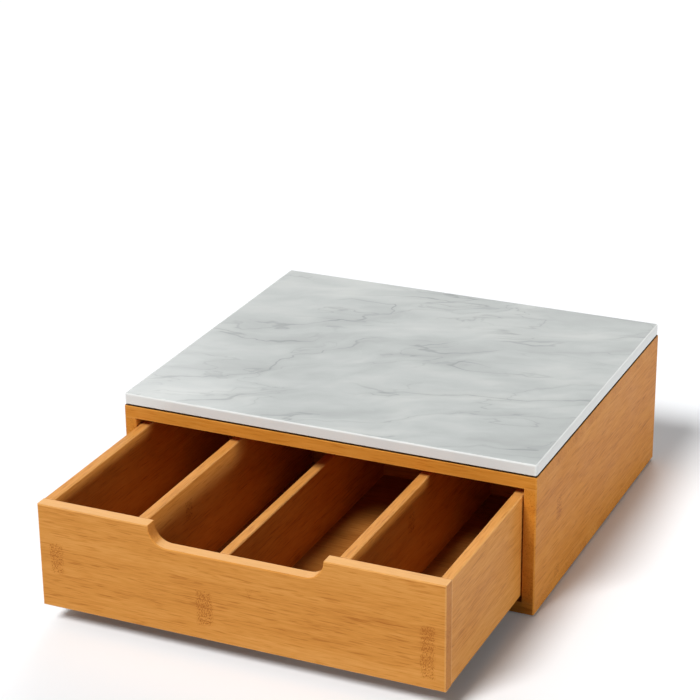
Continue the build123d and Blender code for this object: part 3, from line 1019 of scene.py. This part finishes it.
@dataclass
class Drawer:
    """The sliding drawer: front, sides, back, bottom and dividers."""

    effects: Effects
    front_knuckles: Sequence[KnuckleMark] = (
        KnuckleMark(16 * MM, 45 * MM, 12 * MM, 27 * MM),
        KnuckleMark(150 * MM, 28 * MM, 14 * MM, 31 * MM),
        KnuckleMark(341 * MM, 32 * MM, 11 * MM, 46 * MM),
        KnuckleMark(190 * MM, 49 * MM, 5 * MM, 10 * MM, 0.45),
    )

    def dress(self) -> None:
        """Lay each board's grain along its length, with the front's knuckles where they show."""
        boards = (
            Board("drawer_front", FRONT_BAMBOO, GrainLay.ALONG_X_FACING_Y, self.front_knuckles),
            Board("drawer_left_side", DRAWER_BAMBOO, GrainLay.ALONG_Y_FACING_X),
            Board("drawer_right_side", DRAWER_BAMBOO, GrainLay.ALONG_Y_FACING_X),
            Board("drawer_back", DRAWER_BAMBOO, GrainLay.ALONG_X_FACING_Y),
            Board("drawer_bottom", PANEL_BAMBOO, GrainLay.ALONG_X_FACING_Z),
            Board("left_divider", DIVIDER_BAMBOO, GrainLay.ALONG_Y_FACING_X),
            Board("centre_divider", DIVIDER_BAMBOO, GrainLay.ALONG_Y_FACING_X),
            Board("right_divider", DIVIDER_BAMBOO, GrainLay.ALONG_Y_FACING_X),
        )
        for seed, board in enumerate(boards, start=DRAWER_SEED):
            board.dress(seed, self.effects)


@dataclass
class Joinery:
    """Fluted dowels, turned stop pegs and panel pins."""

    effects: Effects
    case_dowel: Turning = Turning(
        dowel_outline(3 * MM, 24 * MM), flutes=12, flute_depth=0.22 * MM
    )
    drawer_dowel: Turning = Turning(
        dowel_outline(2.5 * MM, 18 * MM), flutes=12, flute_depth=0.18 * MM
    )
    stop_peg: Turning = Turning((
        (3.1 * MM, 0.0), (3.6 * MM, 0.2 * MM), (4.0 * MM, 0.8 * MM), (4.0 * MM, 13.9 * MM),
        (4.1 * MM, 14.0 * MM), (6.8 * MM, 14.0 * MM), (7.0 * MM, 14.2 * MM),
        (7.0 * MM, 15.5 * MM), (6.8 * MM, 15.85 * MM), (6.4 * MM, 16.0 * MM),
    ))
    panel_pin: Turning = Turning((
        (0.06 * MM, 0.0), (0.4 * MM, 1.0 * MM), (0.7 * MM, 2.0 * MM), (0.7 * MM, 15.35 * MM),
        (1.2 * MM, 15.42 * MM), (1.3 * MM, 15.55 * MM), (1.3 * MM, 15.85 * MM),
        (1.15 * MM, 16.0 * MM), (0.5 * MM, 15.97 * MM), (0.3 * MM, 15.88 * MM),
    ), sides=24)

    def build(self) -> None:
        """Bare beech for what is glued or hangs, bright steel for the pins."""
        upright = (Heading.UP, GrainLay.ALONG_Z_FACING_X)
        lengthwise = (Heading.BACK, GrainLay.ALONG_Y_FACING_X)
        sideways = (Heading.RIGHT, GrainLay.ALONG_X_FACING_Y)
        rows = (
            ("fluted_top_dowels", "top_joint_dowels", "case", self.case_dowel, *upright),
            ("fluted_base_dowels", "base_joint_dowels", "case", self.case_dowel, *upright),
            ("turned_stop_pegs", "stop_pegs", "case", self.stop_peg, *upright),
            ("fluted_front_dowels", "front_joint_dowels", "drawer", self.drawer_dowel, *lengthwise),
            ("fluted_divider_dowels", "divider_dowels", "drawer", self.drawer_dowel, *lengthwise),
            ("fluted_back_dowels", "back_joint_dowels", "drawer", self.drawer_dowel, *sideways),
        )
        for seed, (name, node, body, turning, heading, lay) in enumerate(rows, start=DOWEL_SEED):
            beech = TURNED_BEECH.material(node, lay, seed, self.effects)
            turned_piece(name, node, body, turning, heading, beech)
        steel = STEEL_PIN.material(self.effects)
        turned_piece(
            "round_head_pins", "back_panel_pins", "case", self.panel_pin, Heading.BACK, steel
        )


@dataclass
class StoneTop:
    """The marble slab and the pads that it rests on."""

    effects: Effects

    def dress(self) -> None:
        """Polished marble over clear pads."""
        dress("marble_slab", MarbleFinish().material("marble_slab", self.effects))
        dress("slab_pads", SOFT_PAD.material(self.effects))


# ---------------------------------------------------------------------- studio
@dataclass(frozen=True)
class Softbox:
    """A far softbox, which lights the whole floor evenly."""

    name: str
    towards: Point  # from the object to the softbox
    spread: float  # the angle that it fills, seen from the object
    level: float  # what a white surface that faces it shows, where 1 is white
    mirrored: bool = True  # whether polished surfaces show it

    def build(self) -> None:
        """Hang the softbox far away and turn it to the object."""
        lamp = bpy.data.lights.new(self.name, "SUN")
        lamp.angle = self.spread
        lamp.energy = self.level * math.pi
        holder = bpy.data.objects.new(self.name, lamp)
        holder.visible_glossy = self.mirrored
        holder.matrix_world = Vector(self.towards).to_track_quat("Z", "Y").to_matrix().to_4x4()
        bpy.context.scene.collection.objects.link(holder)


@dataclass
class Studio:
    """A plain white sweep with soft light, and the camera at the photograph's angle.

    The three strong softboxes are not mirrored, because the polished slab would show them as
    plain white. The back one keeps the object's back from going dark. The rear one is weak, and
    is there for its reflection, which brightens the slab at the front left.
    """

    softboxes: Sequence[Softbox] = (
        Softbox("overhead_softbox", (-0.15, 0.05, 1.0), math.radians(36), 0.06),
        Softbox("front_softbox", (-0.32, -0.90, 1.14), math.radians(20), 1.02, mirrored=False),
        Softbox("right_softbox", (1.0, -0.03, 0.07), math.radians(9), 0.44, mirrored=False),
        Softbox("back_softbox", (-0.25, 1.0, 0.60), math.radians(30), 0.32, mirrored=False),
        Softbox("rear_softbox", (-0.553, 0.708, 0.438), math.radians(19), 0.04),
    )
    sky_level: float = 0.07
    sky_tint: Point = (0.97, 0.99, 1.02)
    floor_half: float = 30.0
    floor_seen: Paint = Paint(242, 244, 246)  # as the camera and reflections see it
    floor_felt: Paint = Paint(184, 186, 187)  # as it lights the object
    floor_lift: float = 0.05  # the glow that takes the floor to white away from the object
    camera_place: Point = (0.7145, -1.6107, 0.8984)
    azimuth: float = math.radians(24.2926)
    elevation: float = math.radians(22.2627)
    roll: float = math.radians(-0.5698)
    lens: float = 113.64
    sensor: float = 36.0

    def build(self) -> None:
        """Set up the world, the floor, the lamps and the camera."""
        bpy.context.scene.view_settings.view_transform = "Standard"
        self._world()
        self._floor()
        for box in self.softboxes:
            box.build()
        self._camera()

    def _world(self) -> None:
        """White to the camera and to reflections, a dimmer, cooler sky to light the object."""
        world = bpy.data.worlds.new("white_studio")
        bpy.context.scene.world = world
        world.use_nodes = True
        world.node_tree.nodes.clear()
        graph = Graph(world.node_tree)
        sky = tuple(self.sky_level * channel for channel in self.sky_tint)
        colour = graph.mix(self._seen(graph), (*sky, 1.0), WHITE)
        light = graph.add("ShaderNodeBackground", {"Color": colour, "Strength": 1.0})
        output = graph.add("ShaderNodeOutputWorld")
        graph.feed(output.inputs["Surface"], light.outputs[0])

    @staticmethod
    def _seen(graph: Graph) -> Socket:
        """One for rays of the camera, of reflections and through glass."""
        path = graph.add("ShaderNodeLightPath").outputs
        reflected = graph.math("MAXIMUM", path["Is Glossy Ray"], path["Is Transmission Ray"])
        return graph.math("MAXIMUM", path["Is Camera Ray"], reflected)

    def _floor(self) -> None:
        """A pale floor that keeps the object's shadow and is white away from it."""
        half = self.floor_half
        corners = [(-half, -half, 0.0), (half, -half, 0.0), (half, half, 0.0), (-half, half, 0.0)]
        mesh = bpy.data.meshes.new("floor")
        mesh.from_pydata(corners, [], [(0, 1, 2, 3)])
        floor = bpy.data.objects.new("floor", mesh)
        bpy.context.scene.collection.objects.link(floor)
        material = bpy.data.materials.new("pale_floor")
        material.use_nodes = True
        material.node_tree.nodes.clear()
        graph = Graph(material.node_tree)
        seen = self._seen(graph)
        colour = graph.mix(seen, self.floor_felt.linear(), self.floor_seen.linear())
        matt = graph.add("ShaderNodeBsdfDiffuse", {"Color": colour})
        lift = graph.math("MULTIPLY", seen, self.floor_lift)
        glow = graph.add("ShaderNodeEmission", {"Strength": lift})
        both = graph.add("ShaderNodeAddShader", {0: matt.outputs[0], 1: glow.outputs[0]})
        output = graph.add("ShaderNodeOutputMaterial")
        graph.feed(output.inputs["Surface"], both.outputs[0])
        mesh.materials.append(material)

    def _camera(self) -> None:
        """The camera, turned by azimuth, elevation and roll about its own place."""
        turn, tilt, lean = self.azimuth, self.elevation, self.roll
        level = math.cos(tilt)
        right = Vector((math.cos(turn), math.sin(turn), 0.0))
        back = Vector((math.sin(turn) * level, -math.cos(turn) * level, math.sin(tilt)))
        up = back.cross(right)
        leaning_right = math.cos(lean) * right + math.sin(lean) * up
        leaning_up = math.cos(lean) * up - math.sin(lean) * right
        axes = Matrix((leaning_right, leaning_up, back)).transposed().to_4x4()
        lens = bpy.data.cameras.new("camera")
        lens.lens = self.lens
        lens.sensor_width = self.sensor
        camera = bpy.data.objects.new("camera", lens)
        camera.matrix_world = Matrix.Translation(self.camera_place) @ axes
        bpy.context.scene.collection.objects.link(camera)
        bpy.context.scene.camera = camera


def main() -> None:
    """Dress every piece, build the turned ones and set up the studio."""
    effects = Effects()
    case, drawer, joinery, top = Case(effects), Drawer(effects), Joinery(effects), StoneTop(effects)
    for assembly in (case, drawer, top):
        assembly.dress()
    for assembly in (case, joinery):
        assembly.build()
    Studio().build()


if __name__ == "__main__":
    main()
